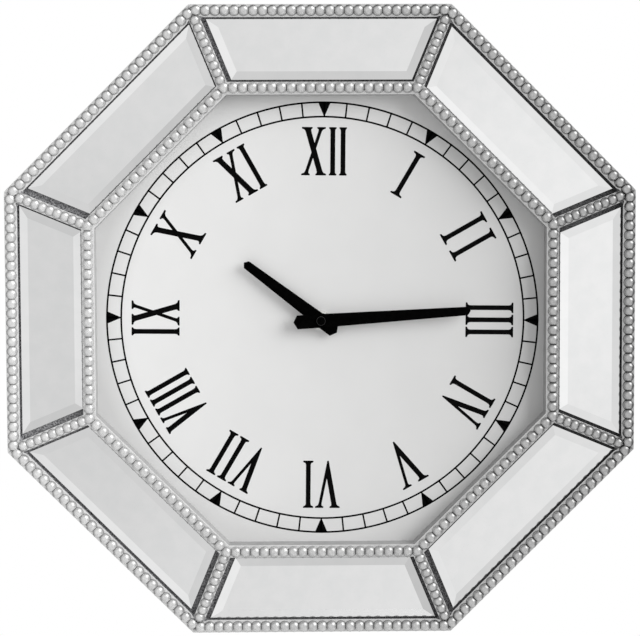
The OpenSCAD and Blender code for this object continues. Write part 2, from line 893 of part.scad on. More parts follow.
module battery() {
  color("goldenrod") stand()
    translate([-battery_l / 2, battery_v, case_front - battery_depth]) rotate([0, 90, 0]) {
      translate([0, 0, button_l]) cylinder(d = battery_d, h = battery_l - button_l);
      cylinder(d = button_d, h = battery_l / 2);
    }
}

// Leaf at one end of the battery bay, with the bump that meets the battery
module contact_leaf(side) {
  deep = case_front - battery_depth;
  near = room_u - leaf_gap - leaf_t;
  bump = near - battery_l / 2 - contact_gap;
  mirror([side < 0 ? 1 : 0, 0, 0]) {
    translate([near, battery_v - leaf_h / 2, deep - leaf_h / 2])
      cube([leaf_t, leaf_h, leaf_h]);
    translate([near - bump, battery_v, deep]) rotate([0, 90, 0]) cylinder(r = bump_r, h = bump);
    translate([near, battery_v, case_front - board_depth - circuit_t - tail_w])
      cube([leaf_t, room_floor - battery_v + tail_w, tail_w]);
  }
}

module contact_plus() {
  tail_v = circuit_low + circuit_h / 2 - tail_w;
  behind = case_front - board_depth - circuit_t;
  near = -room_u + leaf_gap;
  color("silver") stand() {
    contact_leaf(-1);
    translate([near, room_floor, behind - tail_w])
      cube([leaf_t, tail_v - room_floor + tail_w, tail_w]);
    translate([near, tail_v, behind - leaf_t])
      cube([circuit_right - circuit_w + tail_w - near, tail_w, leaf_t]);
  }
}

module contact_minus() {
  behind = case_front - board_depth - circuit_t;
  low = room_floor + 2 * leaf_gap;
  tail_v = circuit_low + leaf_t;
  left = -room_u + 3 * leaf_t;
  color("silver") stand() {
    contact_leaf(1);
    translate([left, low, behind - tail_w])
      cube([room_u - leaf_gap - left, leaf_t, tail_w]);
    translate([left, low, behind - tail_w]) cube([leaf_t, tail_v - low + tail_w, tail_w]);
    translate([left, tail_v, behind - leaf_t])
      cube([circuit_right - circuit_w + tail_w - left, tail_w, leaf_t]);
  }
}

module setting_knob() {
  color([0.15, 0.15, 0.15]) stand() {
    layer(motion_layer, wheel_t) translate(knob_at) gear(knob_z, cannon_m, knob_turn);
    layer(case_wall - pivot_depth + pivot_play, motion_layer) disc(arbor_d / 2, knob_at);
    slab(knob_wall_gap, case_front - motion_layer) disc(arbor_d, knob_at);
    slab(knob_wall_gap, case_rear - cover_gap) difference() {
      disc(knob_d / 2, knob_at);
      for (i = [0 : knob_flutes - 1])
        disc(flute_r, knob_at + polar(knob_d / 2, i * 360 / knob_flutes));
    }
  }
}

front_frame();
outer_bead_trim();
inner_bead_trim();
spoke_bead_trim();
mirror_panel(0);  // mirror_panel_1
mirror_panel(1);  // mirror_panel_2
mirror_panel(2);  // mirror_panel_3
mirror_panel(3);  // mirror_panel_4
mirror_panel(4);  // mirror_panel_5
mirror_panel(5);  // mirror_panel_6
mirror_panel(6);  // mirror_panel_7
mirror_panel(7);  // mirror_panel_8
mirror_tape();
dial_plate();
dial_paper();
dial_screws();
back_board();
back_screws();
hanger_plate();
hanger_screws();
hour_hand();
minute_hand();
hand_nut();
fixing_nut();
fixing_washer();
gasket();
movement_case();
movement_cover();
hour_wheel();
motion_wheel();
minute_arbor();
centre_wheel();
third_wheel();
seconds_wheel();
intermediate_wheel();
rotor_pinion();
rotor_magnet();
stator();
coil_core();
coil_bobbin();
coil_winding();
circuit_board();
quartz_crystal();
battery();
contact_plus();
contact_minus();
setting_knob();
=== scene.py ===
import json
import math

import bmesh
import bpy
from mathutils import Matrix, Vector

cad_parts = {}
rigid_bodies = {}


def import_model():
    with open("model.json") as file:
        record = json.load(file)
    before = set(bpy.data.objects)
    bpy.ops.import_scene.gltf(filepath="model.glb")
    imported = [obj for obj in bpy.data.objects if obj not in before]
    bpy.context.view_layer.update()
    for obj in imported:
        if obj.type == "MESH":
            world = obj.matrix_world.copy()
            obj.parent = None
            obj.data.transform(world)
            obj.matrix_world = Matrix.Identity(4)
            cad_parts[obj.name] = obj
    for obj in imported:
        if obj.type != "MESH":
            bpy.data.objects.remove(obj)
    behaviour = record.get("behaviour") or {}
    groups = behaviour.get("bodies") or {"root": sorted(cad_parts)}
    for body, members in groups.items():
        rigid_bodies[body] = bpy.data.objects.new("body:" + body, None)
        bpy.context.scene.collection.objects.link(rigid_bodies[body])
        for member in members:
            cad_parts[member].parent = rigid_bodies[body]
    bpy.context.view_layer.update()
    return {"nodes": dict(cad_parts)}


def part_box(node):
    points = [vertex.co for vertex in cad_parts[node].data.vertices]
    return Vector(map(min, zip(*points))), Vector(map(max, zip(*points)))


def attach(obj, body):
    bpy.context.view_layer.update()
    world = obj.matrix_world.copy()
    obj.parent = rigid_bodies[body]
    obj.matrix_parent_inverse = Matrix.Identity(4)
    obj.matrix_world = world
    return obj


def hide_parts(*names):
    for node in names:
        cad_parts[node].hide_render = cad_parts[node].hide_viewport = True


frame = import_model()

# Front frame: one moulded octagon with two rails, eight spokes and eight shallow
# mirror pockets, painted in a worn silver. The trims and mirrors are stuck on its
# face, and the dial and the back board are screwed to it from behind.
mm = 0.001
sides = 8
half_step = math.pi / sides
full_turn = 2 * math.pi
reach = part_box("front_frame")[1].x
rail_top = -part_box("front_frame")[0].y
pocket_floor = -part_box("mirror_tape")[1].y
dial_front = -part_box("dial_paper")[0].y
board_front = -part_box("back_board")[0].y
opening = 179.3 * mm
inner_rail_w = 9.9 * mm
outer_rail_w = 10.2 * mm
spoke_w = 9.0 * mm
skirt_t = 12 * mm
skirt_lip_t = 6 * mm
floor_t = 5 * mm
pocket_in = opening + inner_rail_w
pocket_out = reach - outer_rail_w
pocket_mid = (pocket_in + pocket_out) / 2
pocket_depth = rail_top - pocket_floor
floor_back = pocket_floor - floor_t
chamber = reach - skirt_t
ledge = reach - skirt_lip_t
skirt_corner_r = 2.4 * mm
skirt_edge_r = 0.7 * mm
rail_edge_r = 0.3 * mm
pocket_r_in = 1.0 * mm
pocket_r_out = 3.2 * mm
sharp_angle = math.radians(60)
weld = 0.002 * mm
near = 0.01 * mm


def draw(name, points):
    """Starts a piece as a closed line through points and leaves it in edit mode."""
    bpy.ops.object.select_all(action="DESELECT")
    bpy.ops.mesh.primitive_plane_add(size=mm)
    piece = bpy.context.object
    piece.name = piece.data.name = name
    bpy.ops.object.mode_set(mode="EDIT")
    bpy.ops.mesh.select_mode(type="VERT")
    bpy.ops.mesh.merge(type="CENTER")
    bpy.ops.transform.translate(value=points[0])
    for here, there in zip(points, points[1:] + points[:1]):
        bpy.ops.mesh.extrude_region_move(TRANSFORM_OT_translate={"value": there - here})
    bpy.ops.mesh.select_all(action="SELECT")
    bpy.ops.mesh.remove_doubles(threshold=weld)
    return piece


def pick(piece, kind, wanted):
    """Selects the faces or edges of a piece in edit mode that pass a test."""
    bpy.ops.mesh.select_mode(type=kind)
    bpy.ops.mesh.select_all(action="DESELECT")
    mesh = bmesh.from_edit_mesh(piece.data)
    mesh.normal_update()
    for part in {"EDGE": mesh.edges, "FACE": mesh.faces}[kind]:
        if wanted(part):
            part.select_set(True)
    mesh.select_flush_mode()
    bmesh.update_edit_mesh(piece.data)


def looks_out(face):
    """True for a face that looks away from the wall."""
    return face.normal.y < -0.9


def push(*way):
    """Extrudes the selected faces along a vector."""
    bpy.ops.mesh.extrude_region_move(TRANSFORM_OT_translate={"value": way})


def settle(piece, body, slot, surface, *nodes, angle=30):
    """Leaves edit mode, cleans and shades a piece, and hands it to its body."""
    bpy.ops.mesh.select_all(action="SELECT")
    bpy.ops.mesh.remove_doubles(threshold=weld)
    bpy.ops.mesh.normals_make_consistent(inside=False)
    bpy.ops.object.mode_set(mode="OBJECT")
    bpy.ops.object.shade_smooth_by_angle(angle=math.radians(angle))
    if surface.name not in piece.data.materials:
        piece.data.materials.append(surface)
    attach(piece, body)
    if nodes:
        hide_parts(*nodes)


def node(surface, kind, inputs, **settings):
    """Adds a shader node: a socket given as an input is linked, a value is set."""
    tree = surface.node_tree
    made = tree.nodes.new("ShaderNode" + kind)
    for name, value in settings.items():
        setattr(made, name, value)
    for name, value in inputs.items():
        if isinstance(value, bpy.types.NodeSocket):
            tree.links.new(value, made.inputs[name])
        else:
            made.inputs[name].default_value = value
    return made


def place_on(surface):
    """Place on the piece, in the frame that all pieces share."""
    return node(surface, "TexCoord", {}).outputs["Object"]


def rightward(surface):
    """Distance to the right of the clock's middle."""
    return node(surface, "SeparateXYZ", {"Vector": place_on(surface)}).outputs["X"]


def noise(surface, scale):
    """Noise of so many lumps per metre, fixed to the piece."""
    made = node(surface, "TexNoise", {"Vector": place_on(surface), "Scale": scale, "Detail": 3.0})
    return made.outputs["Fac"]


def tint(surface, factor, *stops, steps=False):
    """Turns a factor into colour through stops of place and colour."""
    ramp = node(surface, "ValToRGB", {"Fac": factor})
    if steps:
        ramp.color_ramp.interpolation = "CONSTANT"
    while len(ramp.color_ramp.elements) < len(stops):
        ramp.color_ramp.elements.new(0.5)
    for element, (place, colour) in zip(ramp.color_ramp.elements, stops):
        element.position = place
        element.color = (*colour, 1)
    return ramp.outputs["Color"]


def span(surface, factor, low, high, start=0.3, stop=0.7):
    """Maps a factor from start and stop to low and high, which may be sockets."""
    return node(surface, "MapRange", {
        "Value": factor, "From Min": start, "From Max": stop, "To Min": low, "To Max": high,
    }).outputs[0]


def blend(surface, factor, under, over, way="MIX"):
    """Mixes two colours by a factor, or lays one over the other in another way."""
    made = node(
        surface, "Mix", {0: factor, 6: under, 7: over}, data_type="RGBA", blend_type=way)
    return made.outputs[2]


def feed(surface, **sockets):
    """Links outputs to the sockets of a surface's shader."""
    shader = surface.node_tree.nodes["Principled BSDF"]
    for name, output in sockets.items():
        surface.node_tree.links.new(output, shader.inputs[name.replace("_", " ")])


def coat(name, dark, light, rough, metal=0.0, shine=0.5, patch=90.0, grain=1400.0, relief=0.03):
    """Surface whose tone drifts in patches and whose gloss and relief have a fine grain."""
    surface = bpy.data.materials.new(name)
    surface.use_nodes = True
    shader = surface.node_tree.nodes["Principled BSDF"]
    shader.inputs["Metallic"].default_value = metal
    shader.inputs["Specular IOR Level"].default_value = shine
    fine = noise(surface, grain)
    feed(
        surface,
        Base_Color=tint(surface, noise(surface, patch), (0.35, dark), (0.65, light)),
        Roughness=span(surface, fine, rough - 0.05, rough + 0.07),
        Normal=node(surface, "Bump", {
            "Height": fine, "Distance": relief * mm, "Strength": 0.6,
        }).outputs[0],
    )
    return surface


def paint_of(surface):
    """Colour that a surface has so far."""
    shader = surface.node_tree.nodes["Principled BSDF"]
    return shader.inputs["Base Color"].links[0].from_socket


def paint_side_shade(surface, left, right, metal=None):
    """Paints shade into a finish: scales its colour evenly from the clock's left side to its right,
    and its metal too when given.
    """
    # Painted shade: the finish is lighter on one side of the clock and darker on the other.
    share = span(surface, rightward(surface), 0, 1, -reach, reach)
    cover = tint(surface, share, (0, (left, left, left)), (1, (right, right, right)))
    feed(surface, Base_Color=blend(surface, 1, paint_of(surface), cover, "MULTIPLY"))
    if metal:
        feed(surface, Metallic=span(surface, rightward(surface), *metal, -reach, reach))


def corner(apothem, height):
    """Corner of an octagon, from its flats' distance and its height over the wall."""
    return Vector((apothem, -height, apothem * math.tan(half_step)))


silver = coat("silver_paint", (0.80, 0.80, 0.80), (0.90, 0.90, 0.895), 0.40, metal=0.4)
# Painted shade: the frame's silver is darker and more metallic towards the right side.
paint_side_shade(silver, 1.0, 0.78, metal=(0.35, 0.6))
# Painted shade: a darker copy of the silver for the inner walls of the dial opening, darker again
# towards the right.
shaded_wall_silver = coat("silver_wall_shaded", (0.48, 0.48, 0.48), (0.54, 0.54, 0.54), 0.5)
paint_side_shade(shaded_wall_silver, 0.8, 0.65)
pocket_dark = coat(
    "pocket_primer", (0.03, 0.03, 0.032), (0.23, 0.23, 0.235), 0.8, patch=800, relief=0.25)
# Painted shade: the primer is made much lighter towards the left side and darker towards the right.
paint_side_shade(pocket_dark, 2.4, 0.45)

moulding = draw("front_frame_moulding", [corner(*spot) for spot in (
    (reach, 0),
    (reach, rail_top),
    (pocket_out + spoke_w / 2, rail_top),
    (pocket_in - spoke_w / 2, rail_top),
    (opening, rail_top),
    (opening, dial_front),
    (pocket_in, dial_front),
    (pocket_in, floor_back),
    (chamber, floor_back),
    (chamber, board_front),
    (ledge, board_front),
    (ledge, 0),
)])
bpy.ops.mesh.spin(steps=sides, angle=full_turn, center=(0, 0, 0), axis=(0, 1, 0))
bpy.ops.mesh.select_all(action="SELECT")
bpy.ops.mesh.remove_doubles(threshold=near)
bpy.ops.mesh.normals_make_consistent(inside=False)
pick(moulding, "FACE", lambda face: looks_out(face)
     and abs(face.calc_center_median().xz.length - pocket_mid) < spoke_w / 2)
bpy.ops.mesh.inset(thickness=spoke_w / 2, use_individual=True)
push(0, pocket_depth, 0)
for surface in (silver, pocket_dark, shaded_wall_silver):
    moulding.data.materials.append(surface)
bpy.ops.mesh.select_more()
moulding.active_material_index = 1
bpy.ops.object.material_slot_assign()
# The opening's inner walls take the darker copy of the silver, which paints in their shade.
pick(moulding, "FACE", lambda face: abs(face.normal.y) < 0.1
     and face.calc_center_median().xz.length < opening + near)
moulding.active_material_index = 2
bpy.ops.object.material_slot_assign()


def upright(edge, length):
    """True for an edge of a length that stands square to the wall."""
    low, high = (vert.co for vert in edge.verts)
    return (low - high).xz.length < near and abs(abs(low.y - high.y) - length) < near


for far, setback in ((False, pocket_r_in), (True, pocket_r_out)):
    pick(moulding, "EDGE", lambda edge: upright(edge, pocket_depth)
         and min(vert.co.y for vert in edge.verts) < -pocket_floor
         and (edge.verts[0].co.xz.length > pocket_mid) == far)
    bpy.ops.mesh.bevel(offset=setback, segments=4, affect="EDGES")
pick(moulding, "EDGE", lambda edge: upright(edge, rail_top))
bpy.ops.mesh.bevel(offset=skirt_corner_r, segments=5, affect="EDGES")


def top_edge(edge, low, high):
    """True for an edge of the rails' top that turns down, between two distances from the axis."""
    middle = (edge.verts[0].co + edge.verts[1].co) / 2
    return (all(vert.co.y < -rail_top + near for vert in edge.verts)
            and edge.calc_face_angle(0) > sharp_angle and low < middle.xz.length < high)


pick(moulding, "EDGE", lambda edge: top_edge(edge, reach - near, 2 * reach))
bpy.ops.mesh.bevel(offset=skirt_edge_r, segments=3, affect="EDGES")
pick(moulding, "EDGE", lambda edge: top_edge(edge, 0, pocket_out / math.cos(half_step)))
bpy.ops.mesh.bevel(offset=rail_edge_r, segments=2, affect="EDGES")
settle(moulding, "clock_body", "frame_paint", silver, "front_frame")

# Bead trims: narrow strips of half beads, moulded in one with their backing, mitred
# at the corners and glued along both rails and the spokes. The silver paint is darkened
# by painted shade in the grooves between the beads and round their feet, more to the right.
strip_t = 0.6 * mm
strip_lip = 0.1 * mm
strip_top = rail_top + strip_t
row_r = 4.45 * mm
row_half = row_r + strip_lip
outer_row = reach - 4.85 * mm
inner_row = opening + 5.4 * mm
trim_gap = 0.4 * mm
bead_sunk = 0.15
foot_w = 0.4 * mm
foot_rise = 0.06 * mm
foot_sunk = 0.01 * mm
foot_shade = 0.35
groove_shade = 0.9
groove_fade = 16
rim_fade = 12
smooth_bead = 40

bead_silver = coat("bead_paint", (0.82, 0.82, 0.82), (0.94, 0.94, 0.935), 0.28, patch=160)
# Painted shade: a near-black tone laid in the grooves between beads and round their feet, deeper
# towards the right side.
shade_black = (0.04, 0.04, 0.041, 1)
bead_shade = node(bead_silver, "Math", {
    0: node(bead_silver, "Attribute", {}, attribute_name="bead_shade").outputs["Fac"],
    1: span(bead_silver, rightward(bead_silver), 0.65, 1, -reach, reach),
}, operation="MULTIPLY").outputs[0]
feed(bead_silver, Base_Color=blend(bead_silver, bead_shade, paint_of(bead_silver), shade_black))
# Painted shade: the beads' silver is darker and more metallic towards the right side.
paint_side_shade(bead_silver, 0.95, 0.55, metal=(0.58, 0.97))


def bead_row(name, radius, pitch, count, start, inside, outside):
    """Row of half beads along +X at z 0, wider than their pitch, left selected in edit mode.

    Inside and outside say how much painted shade lies at the beads' feet on either side.
    """
    bpy.ops.object.select_all(action="DESELECT")
    ball = radius / math.sqrt(1 - bead_sunk ** 2)
    bpy.ops.mesh.primitive_uv_sphere_add(segments=16, ring_count=8, radius=ball)
    piece = bpy.context.object
    piece.name = piece.data.name = name
    bpy.ops.object.mode_set(mode="EDIT")
    bpy.ops.mesh.select_all(action="SELECT")
    bpy.ops.transform.rotate(value=math.pi / 2, orient_axis="Y", center_override=(0, 0, 0))
    bpy.ops.mesh.bisect(plane_co=(0, -bead_sunk * ball, 0), plane_no=(0, 1, 0), clear_outer=True)
    push(0, foot_rise + foot_sunk, 0)
    wider = 1 + foot_w / radius
    bpy.ops.transform.resize(value=(wider, 1, wider), center_override=(0, 0, 0))
    for way in (-1, 1):
        bpy.ops.mesh.select_all(action="SELECT")
        bpy.ops.mesh.bisect(
            plane_co=(way * pitch / 2, 0, 0), plane_no=(way, 0, 0), clear_outer=True)
    bpy.ops.object.mode_set(mode="OBJECT")
    # Painted shade per point: dark at the grooves between beads, at their rims and on the foot
    # flange.
    shade_layer = piece.data.attributes.new("bead_shade", "FLOAT", "POINT")
    for vert, shade_value in zip(piece.data.vertices, shade_layer.data):
        groove = abs(vert.co.x) / (pitch / 2)
        rim = vert.co.xz.length / radius
        side = outside if vert.co.z > 0 else inside
        if vert.co.xz.length > radius + foot_w / 10:
            shade_value.value = foot_shade * side
        else:
            shade_value.value = max(groove_shade * groove ** groove_fade, side * rim ** rim_fade)
    row = piece.modifiers.new("row", "ARRAY")
    row.count = count
    row.use_relative_offset = False
    row.use_constant_offset = True
    row.constant_offset_displace = (pitch, 0, 0)
    row.use_merge_vertices = True
    row.merge_threshold = near
    bpy.ops.object.modifier_apply(modifier=row.name)
    bpy.ops.object.mode_set(mode="EDIT")
    bpy.ops.mesh.select_all(action="SELECT")
    bpy.ops.transform.translate(value=(start, bead_sunk * ball - foot_rise - strip_top, 0))
    return piece


def turn_copies():
    """Repeats the selected side of a piece round the clock."""
    bpy.ops.mesh.spin(
        steps=sides - 1, angle=full_turn * (sides - 1) / sides, dupli=True,
        center=(0, 0, 0), axis=(0, 1, 0))


def add_strip(piece, points, round_it):
    """Joins a flat backing strip of drawn section to a trim in edit mode."""
    bpy.ops.mesh.select_all(action="SELECT")
    bpy.ops.object.mode_set(mode="OBJECT")
    strip = draw("strip", points)
    round_it()
    bpy.ops.object.mode_set(mode="OBJECT")
    strip.select_set(True)
    piece.select_set(True)
    bpy.context.view_layer.objects.active = piece
    bpy.ops.object.join()
    bpy.ops.object.mode_set(mode="EDIT")


def rail_trim(name, node_name, row, count, lead, inside, outside):
    """Trim of one rail: a mitred row on each of the eight sides and its strip.

    Lead is how far the row starts before the side's corner, in beads.
    """
    length = 2 * row * math.tan(half_step)
    pitch = length / count
    trim = bead_row(name, row_r, pitch, count + 2, -length / 2 - lead * pitch, inside, outside)
    bpy.ops.transform.translate(value=(0, 0, row))
    for way in (-1, 1):
        bpy.ops.mesh.select_all(action="SELECT")
        bpy.ops.mesh.bisect(
            plane_co=(0, 0, 0), clear_outer=True,
            plane_no=(way * math.cos(half_step), 0, -math.sin(half_step)))
    bpy.ops.mesh.select_all(action="SELECT")
    turn_copies()
    add_strip(
        trim,
        [corner(row + across, rail_top + up) for across, up in (
            (-row_half, 0), (row_half, 0), (row_half, strip_t), (-row_half, strip_t))],
        lambda: bpy.ops.mesh.spin(
            steps=sides, angle=full_turn, center=(0, 0, 0), axis=(0, 1, 0)))
    settle(trim, "clock_body", "bead_paint", bead_silver, node_name, angle=smooth_bead)


rail_trim(
    "outer_beads", "outer_bead_trim", outer_row, count=27, lead=0.5, inside=1, outside=0.2)
rail_trim(
    "inner_beads", "inner_bead_trim", inner_row, count=20, lead=0, inside=0.45, outside=0.5)

spoke_r = 4.05 * mm
spoke_count = 9
spoke_tuck = 2.2 * mm
spoke_half = spoke_r + strip_lip
spoke_from = (inner_row + row_half + trim_gap) / math.cos(half_step)
spoke_to = (outer_row - row_half - trim_gap) / math.cos(half_step)
bead_from = spoke_from - spoke_tuck
spoke_pitch = (spoke_to - bead_from) / spoke_count
spoke_trim = bead_row(
    "spoke_beads", spoke_r, spoke_pitch, spoke_count, bead_from + spoke_pitch / 2,
    inside=1, outside=1)
bpy.ops.transform.rotate(value=half_step, orient_axis="Y", center_override=(0, 0, 0))
turn_copies()


def raise_strip():
    """Makes the drawn foot of a spoke's strip solid and repeats it on every spoke."""
    bpy.ops.mesh.edge_face_add()
    push(0, -strip_t, 0)
    bpy.ops.mesh.select_all(action="SELECT")
    bpy.ops.transform.rotate(value=half_step, orient_axis="Y", center_override=(0, 0, 0))
    turn_copies()


add_strip(
    spoke_trim,
    [Vector((along, -rail_top, across)) for along, across in (
        (spoke_from, -spoke_half), (spoke_to, -spoke_half),
        (spoke_to, spoke_half), (spoke_from, spoke_half))],
    raise_strip)
settle(
    spoke_trim, "clock_body", "bead_paint", bead_silver, "spoke_bead_trim", angle=smooth_bead)

# Mirror panels: eight trapezoids of 4 mm mirror glass with a ground bevel all round,
# stuck into the pockets with pads of foam tape. They were cut and set by hand, so each
# has its own distances to the rails and to the spokes before and after it.
mirror = coat("mirror_silver", (0.90, 0.905, 0.905), (0.93, 0.93, 0.93), 0.05, metal=1.0, relief=0)
feed(mirror, Roughness=span(mirror, noise(mirror, 30), 0.012, 0.03))
# Painted reflection: the mirrors' silvering is made darker on the left and brighter on the right.
paint_side_shade(mirror, 0.88, 1.05)
glass_front, glass_back = (-place.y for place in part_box("mirror_panel_1"))
bevel_w = 6.5 * mm
bevel_drop = 1.8 * mm
smooth_glass = 5

# Distances in mm from the middle to the inner and the outer edge, and from the spokes'
# middles to the edge before and the edge after, clockwise from the top.
mirror_places = (
    (191.0, 238.5, 8.3, 6.3), (189.6, 237.7, 7.0, 8.1), (190.3, 238.4, 8.3, 7.0),
    (190.5, 238.5, 6.9, 9.0), (189.6, 238.5, 7.3, 8.5), (189.4, 237.6, 8.6, 6.5),
    (189.3, 238.1, 9.0, 5.6), (189.6, 238.8, 9.8, 5.5))
for side, (low, high, before, after) in enumerate(mirror_places):
    turn = Matrix.Rotation(full_turn * side / sides, 3, "Y")
    corners = []
    for out, off, way in ((low, before, -1), (high, before, -1), (high, after, 1), (low, after, 1)):
        across = way * (out * math.tan(half_step) - off / math.cos(half_step))
        corners.append(turn @ Vector((across * mm, -glass_back, out * mm)))
    panel = draw("mirror_glass_%d" % (side + 1), corners)
    bpy.ops.mesh.edge_face_add()
    push(0, glass_back + bevel_drop - glass_front, 0)
    bpy.ops.mesh.select_all(action="SELECT")
    bpy.ops.mesh.normals_make_consistent(inside=False)
    pick(panel, "FACE", looks_out)
    bpy.ops.mesh.inset(thickness=bevel_w, depth=bevel_drop)
    settle(
        panel, "clock_body", "mirror_glass", mirror, "mirror_panel_%d" % (side + 1),
        angle=smooth_glass)


def dress(surface, *nodes):
    """Gives CAD nodes that stay as they are their finish."""
    for name in nodes:
        surfaces = frame["nodes"][name].data.materials
        surfaces.clear()
        surfaces.append(surface)


foam = coat("foam_tape", (0.02, 0.02, 0.02), (0.05, 0.05, 0.05), 0.9, patch=900, relief=0.2)
dress(foam, "mirror_tape")

# Dial: a thin board with a printed paper face, held in the back of the opening by
# eight screws. The paper is matt and slightly warm, with painted shade that darkens it
# towards the right and round its left margin.
paper = coat(
    "dial_paper", (0.93, 0.93, 0.925), (0.95, 0.95, 0.945), 0.62, patch=25, grain=2600, relief=0.02)
# Painted shade: the paper is lighter on the left side and darker on the right.
paint_side_shade(paper, 1.05, 0.58)
# Painted shade round the paper's left margin, next to the frame's wall.
margin_from = 155 * mm
margin_to = 185 * mm
margin_left = -170 * mm
margin_shade_tone = (0.76, 0.76, 0.76, 1)
from_middle = node(paper, "VectorMath", {0: place_on(paper)}, operation="LENGTH").outputs["Value"]
margin_shade = node(paper, "Math", {
    0: span(paper, from_middle, 0, 1, margin_from, margin_to),
    1: span(paper, rightward(paper), 1, 0, margin_left, 0),
}, operation="MULTIPLY").outputs[0]
feed(paper, Base_Color=blend(paper, margin_shade, paint_of(paper), margin_shade_tone, "MULTIPLY"))
dress(paper, "dial_paper")
board = coat("dial_board", (0.30, 0.20, 0.12), (0.40, 0.28, 0.17), 0.7, patch=260, relief=0.1)
dress(board, "dial_plate")

# Dial print: a minute ring between two circles with a cross-line at every minute and
# a triangle at every fifth, and upright roman numerals with their feet to the centre.
# It is black ink on the paper.
ink = coat("dial_ink", (0.001, 0.001, 0.001), (0.003, 0.003, 0.003), 0.6, shine=0.03, patch=300)
ink_back = dial_front - 0.02 * mm
ink_t = 0.1 * mm
print_shift = Vector((1.6 * mm, 0, 1.0 * mm))
print_turn = math.radians(0.62)
minutes = 60
hours = 12
ring_out = 172.9 * mm
ring_in = 161.5 * mm
ring_line = 1.4 * mm
ring_steps = 180
minute_line = 1.3 * mm
mark_w = 10 * mm
mark_tip = 0.4 * mm


def on_dial(across, out):
    """Point of the print's back, before it is turned to its hour."""
    return Vector((across, -ink_back, out))


def print_on(piece):
    """Moves drawn print to its place on the paper and settles it."""
    bpy.ops.mesh.select_all(action="SELECT")
    bpy.ops.transform.rotate(value=-print_turn, orient_axis="Y", center_override=(0, 0, 0))
    bpy.ops.transform.translate(value=print_shift)
    settle(piece, "clock_body", "dial_paper", ink)


def repeat_marks(count):
    """Raises the drawn mark and repeats it round the dial."""
    bpy.ops.mesh.edge_face_add()
    push(0, -ink_t, 0)
    bpy.ops.mesh.select_all(action="SELECT")
    bpy.ops.mesh.spin(
        steps=count - 1, angle=full_turn * (count - 1) / count, dupli=True,
        center=(0, 0, 0), axis=(0, 1, 0))


for name, radius in (("minute_circle_out", ring_out), ("minute_circle_in", ring_in)):
    low, high = radius - ring_line / 2, radius + ring_line / 2
    raised = Vector((0, -ink_t, 0))
    circle = draw(name, [
        on_dial(0, low), on_dial(0, high), on_dial(0, high) + raised, on_dial(0, low) + raised])
    bpy.ops.mesh.spin(steps=ring_steps, angle=full_turn, center=(0, 0, 0), axis=(0, 1, 0))
    print_on(circle)
lines = draw("minute_lines", [on_dial(*spot) for spot in (
    (-minute_line / 2, ring_in), (minute_line / 2, ring_in),
    (minute_line / 2, ring_out), (-minute_line / 2, ring_out))])
repeat_marks(minutes)
print_on(lines)
marks = draw("five_minute_marks", [on_dial(*spot) for spot in (
    (0, ring_in - mark_tip), (mark_w / 2, ring_out), (-mark_w / 2, ring_out))])
repeat_marks(hours)
print_on(marks)

numeral_foot = 114.8 * mm
numeral_h = 38.4 * mm
stem_w = 3.8 * mm
thick_w = 4.6 * mm
thin_w = 2.7 * mm
serif_t = 1.5 * mm
serif_tip = 0.5 * mm
serif_nib = 0.3 * mm
blunt_end = (0.6, 0.2)
bracket_h = 4.2 * mm
bracket_steps = 4


def stroke(foot, head, width):
    """Left and right edge of a straight stroke, each as foot place and lean."""
    lean = (head - foot) / numeral_h
    return (foot - width / 2, lean), (foot + width / 2, lean)


def along(edge, up):
    """Point of a stroke's edge at a height."""
    return Vector((edge[0] + edge[1] * up, up))


def crossing(one, other):
    """Point where two edges meet."""
    return along(one, (other[0] - one[0]) / (one[1] - other[1]))


def serif(edges, low, high, end):
    """Bracketed serif over a stroke's end, from left to right, between low and high."""
    way = 1 if end == 0 else -1
    points = []
    for edge, tip, inward in ((edges[0], low, 1), (edges[1], high, -1)):
        start = along(edge, end + way * bracket_h)
        bend = along(edge, end + way * serif_t)
        stop = Vector((tip + inward * serif_tip, end + way * serif_t))
        side = []
        for step in range(bracket_steps + 1):
            t = step / bracket_steps
            side.append(start * (1 - t) ** 2 + bend * 2 * t * (1 - t) + stop * t ** 2)
        for share in blunt_end:
            side.append(Vector((tip, end + way * serif_t * share)))
        side.append(Vector((tip + inward * serif_nib, end)))
        points += side if inward == 1 else side[::-1]
    return points


def letter_i(width):
    """Outline of an I, clockwise."""
    stem = stroke(0, 0, stem_w)
    head = serif(stem, -width / 2, width / 2, numeral_h)
    return head + serif(stem, -width / 2, width / 2, 0)[::-1]


def letter_v(width):
    """Outline of a V with its thick stroke on the left.

    Left and right are the lengths of its serifs, and point is where its strokes meet.
    """
    left, right = 0.41 * width, 0.335 * width
    point = -0.02 * width
    thick = stroke(point + 0.35 * thick_w, (left - width) / 2, 0.9 * thick_w)
    thin = stroke(point - 0.2 * thin_w, (width - right) / 2, 0.9 * thin_w)
    return (
        serif(thick, -width / 2, left - width / 2, numeral_h)
        + [crossing(thick[1], thin[0])]
        + serif(thin, width / 2 - right, width / 2, numeral_h)
        + [along(thin[1], 0), along(thick[0], 0)])


def letter_x(width):
    """Outline of an X with its thick stroke from top left to bottom right.

    Wide and slim are the lengths of its serifs, and its top is narrower than its foot.
    """
    wide, slim = 0.43 * width, 0.345 * width
    edge = width / 2
    top = 0.96 * edge
    thick = stroke(edge - wide / 2, wide / 2 - top, thick_w)
    thin = stroke(slim / 2 - edge, top - slim / 2, thin_w)
    return (
        serif(thick, -top, wide - top, numeral_h)
        + [crossing(thick[1], thin[0])]
        + serif(thin, top - slim, top, numeral_h)
        + [crossing(thin[1], thick[1])]
        + serif(thick, edge - wide, edge, 0)[::-1]
        + [crossing(thick[0], thin[1])]
        + serif(thin, -edge, slim - edge, 0)[::-1]
        + [crossing(thin[0], thick[0])])


outlines = {"I": letter_i, "V": letter_v, "X": letter_x}

